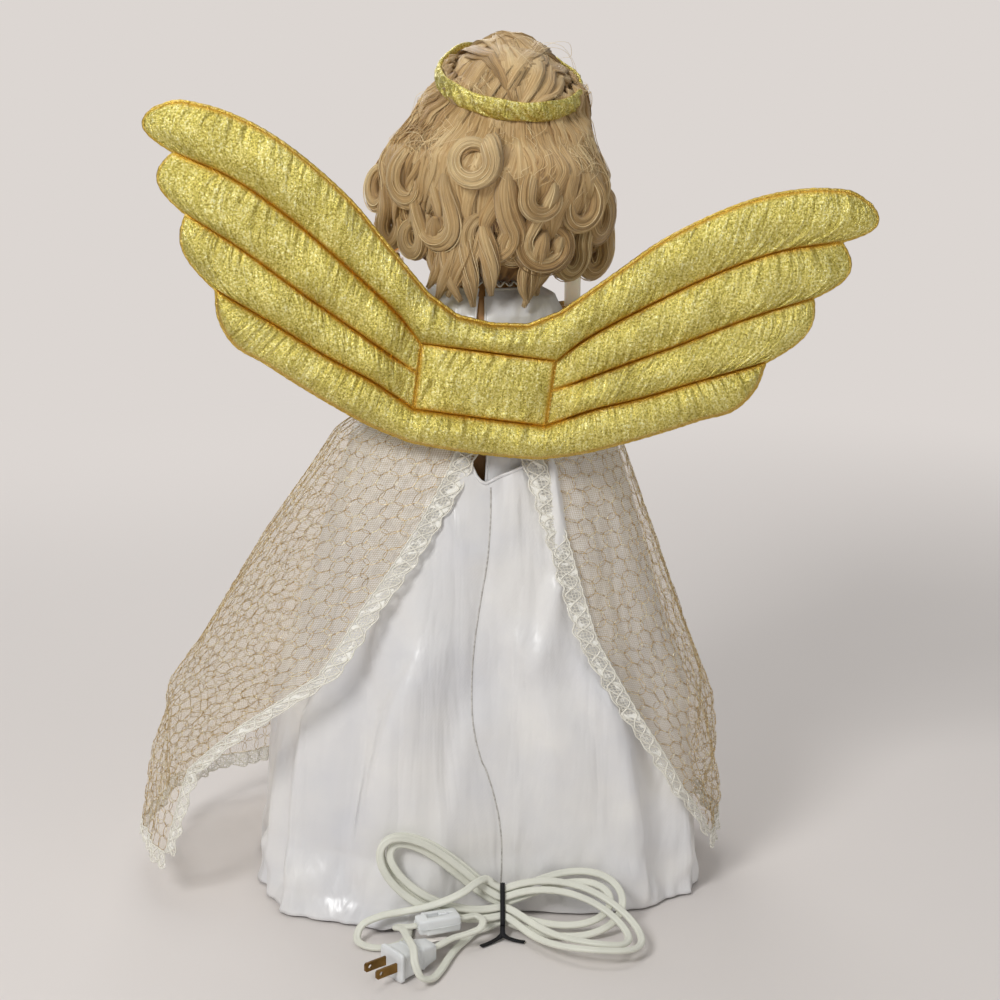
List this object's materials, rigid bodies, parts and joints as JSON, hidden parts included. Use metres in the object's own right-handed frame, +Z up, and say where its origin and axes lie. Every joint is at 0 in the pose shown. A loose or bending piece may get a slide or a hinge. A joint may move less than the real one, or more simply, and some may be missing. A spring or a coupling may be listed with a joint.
{
  "type": "animated angel figure",
  "caption": "Motor-driven standing angel figure with padded wings, satin dress, open net overskirt, swinging arms holding candle lamps, turning head and a tied plug-in cord.",
  "frame": {"origin": "centre of the underside of the base plate, on the surface that the figure stands on", "axes": "+Z up; the figure faces -Y, its left hand is at +X; the picture looks along -Y at its back"},
  "size_m": [0.5115, 0.3357, 0.606],
  "materials": {
    "white_plastic": "moulded off-white plastic",
    "tan_plastic": "moulded tan plastic",
    "board": "pressed board",
    "steel": "plain steel",
    "brass": "dull brass",
    "nylon": "natural nylon",
    "skin": "painted soft vinyl",
    "gold_cloth": "quilted metallic cloth",
    "satin": "white satin",
    "net": "tan net with gold thread",
    "lace": "white lace",
    "hair": "ash blond synthetic fibre",
    "candle": "ivory tube",
    "flame": "amber lamp",
    "white_vinyl": "moulded white vinyl",
    "cord_vinyl": "off-white flat cord",
    "tie": "black coated wire"
  },
  "bodies": {
    "frame": {"base_plate": "white_plastic", "upright_front": "steel", "upright_right": "steel", "upright_left": "steel", "skirt_cone": "board", "deck_plate": "white_plastic", "idler_pin": "steel", "gear_plate_left": "steel", "gear_plate_right": "steel", "spacer_front": "brass", "spacer_rear": "brass", "spacer_top": "brass", "motor_can": "steel", "torso_front_shell": "tan_plastic", "torso_back_shell": "tan_plastic", "neck_bearing": "white_plastic", "bodice": "satin", "lace_collar": "lace", "wing_pad": "gold_cloth", "wing_bracket": "white_plastic", "wing_screw_lower": "steel", "wing_screw_upper": "steel", "satin_skirt": "satin", "overskirt_left": "net", "overskirt_right": "net", "cord_gland": "white_vinyl", "cord_lead": "cord_vinyl", "cord_hank": "cord_vinyl", "twist_tie": "tie", "cord_tail": "cord_vinyl", "switch_housing": "white_vinyl", "cord_end": "cord_vinyl", "plug_body": "white_vinyl", "plug_blade_left": "brass", "plug_blade_right": "brass"},
    "motor_rotor": {"motor_pinion": "brass"},
    "idler": {"idler_gear": "nylon"},
    "crank": {"output_gear": "nylon", "crank_shaft": "steel", "crank_left": "nylon", "crank_right": "nylon"},
    "left_arm": {"arm_left": "skin", "arm_axle_left": "steel", "slotted_lever_left": "nylon", "sleeve_left": "net", "candle_left": "candle", "drip_cup_left": "brass", "flame_lamp_left": "flame"},
    "right_arm": {"arm_right": "skin", "arm_axle_right": "steel", "slotted_lever_right": "nylon", "sleeve_right": "net", "candle_right": "candle", "drip_cup_right": "brass", "flame_lamp_right": "flame"},
    "head": {"neck_post": "steel", "head_shell": "skin", "headband": "gold_cloth", "hair": "hair"},
    "switch_knob": {"switch_slider": "white_vinyl"}
  },
  "joints": [
    {"name": "motor_spin", "type": "hinge", "parent": "frame", "child": "motor_rotor", "pos_m": [0, 0, 0.325], "axis": [1, 0, 0], "continuous": true},
    {"name": "idler_spin", "type": "hinge", "parent": "frame", "child": "idler", "pos_m": [0, 0.0099, 0.34215], "axis": [1, 0, 0], "continuous": true},
    {"name": "crank_spin", "type": "hinge", "parent": "frame", "child": "crank", "pos_m": [0, 0, 0.35929], "axis": [1, 0, 0], "continuous": true},
    {"name": "head_turn", "type": "hinge", "parent": "frame", "child": "head", "pos_m": [0, 0, 0.43], "axis": [0, 0, 1], "range_deg": [-15, 15]},
    {"name": "left_arm_swing", "type": "hinge", "parent": "frame", "child": "left_arm", "pos_m": [0.05, 0, 0.415], "axis": [1, 0, 0], "range_deg": [-12, 12]},
    {"name": "right_arm_swing", "type": "hinge", "parent": "frame", "child": "right_arm", "pos_m": [-0.05, 0, 0.415], "axis": [1, 0, 0], "range_deg": [-12, 12]},
    {"name": "switch_slide", "type": "slide", "parent": "frame", "child": "switch_knob", "axis": [0.9397, 0.342, 0], "range_m": [0, 0.008]}
  ],
  "couplings": [
    {"joint": "idler_spin", "follows": "motor_spin", "ratio": -0.29412},
    {"joint": "crank_spin", "follows": "motor_spin", "ratio": 0.086505},
    {"joint": "left_arm_swing", "follows": "head_turn", "ratio": 0.8},
    {"joint": "right_arm_swing", "follows": "head_turn", "ratio": -0.8}
  ]
}
